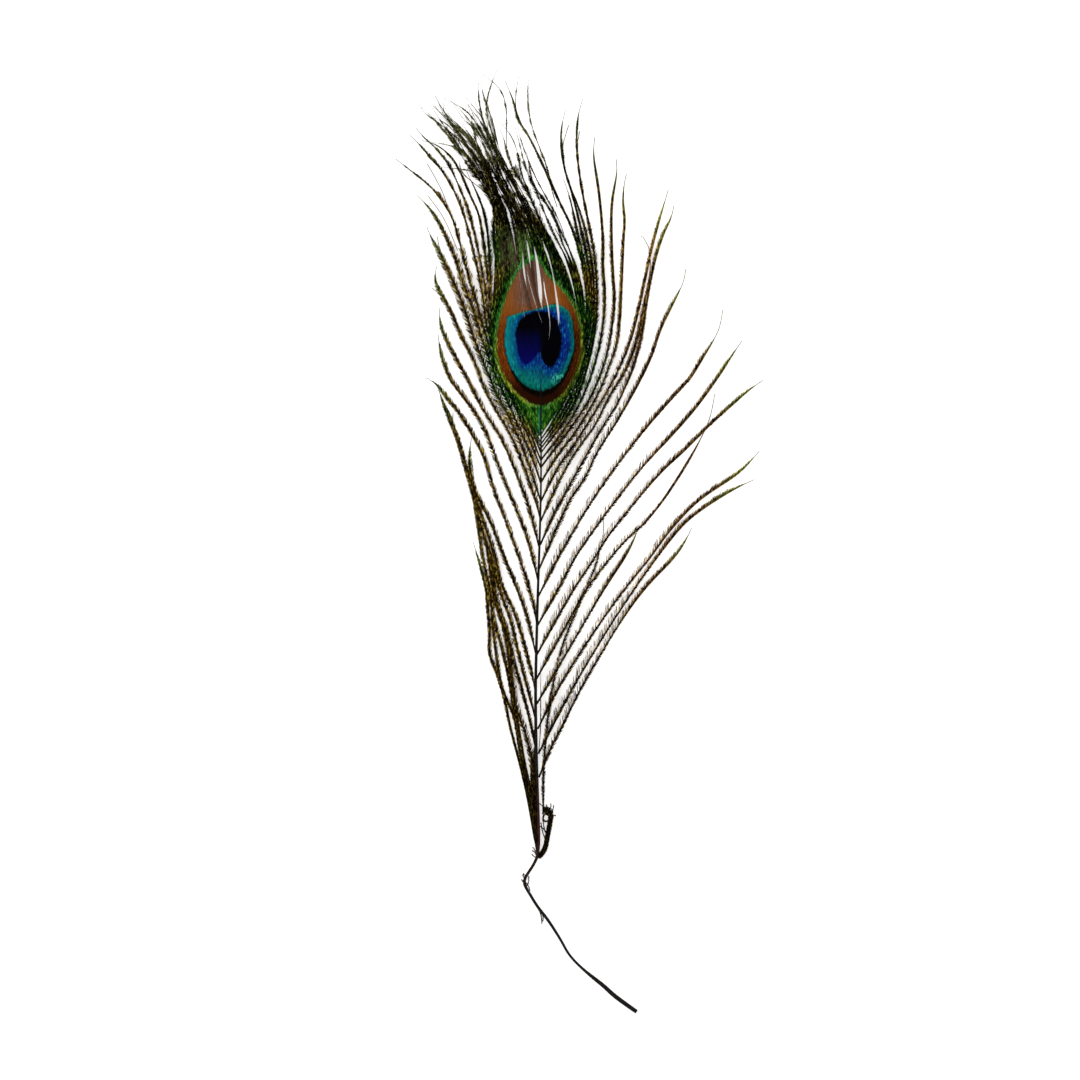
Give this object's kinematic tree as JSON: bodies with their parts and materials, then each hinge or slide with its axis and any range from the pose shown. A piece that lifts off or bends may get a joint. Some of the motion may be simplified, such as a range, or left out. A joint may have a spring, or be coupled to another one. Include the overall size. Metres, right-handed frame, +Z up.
{
  "type": "peacock feather",
  "caption": "Eyed peacock tail feather lying flat, with a thin curved quill, loose fringed barbs, an oval eye and a crest of long barb ends swept to one side.",
  "frame": {"origin": "middle of the feather's box on the surface that it lies on", "axes": "+Y from the quill to the tips of the crest, +X to the side that the quill bends to, +Z up from the surface, with the eye's front face up"},
  "size_m": [0.1184, 0.304, 0.0056],
  "materials": {
    "feather": "satin"
  },
  "bodies": {
    "root": {"feather": "feather"}
  },
  "joints": []
}
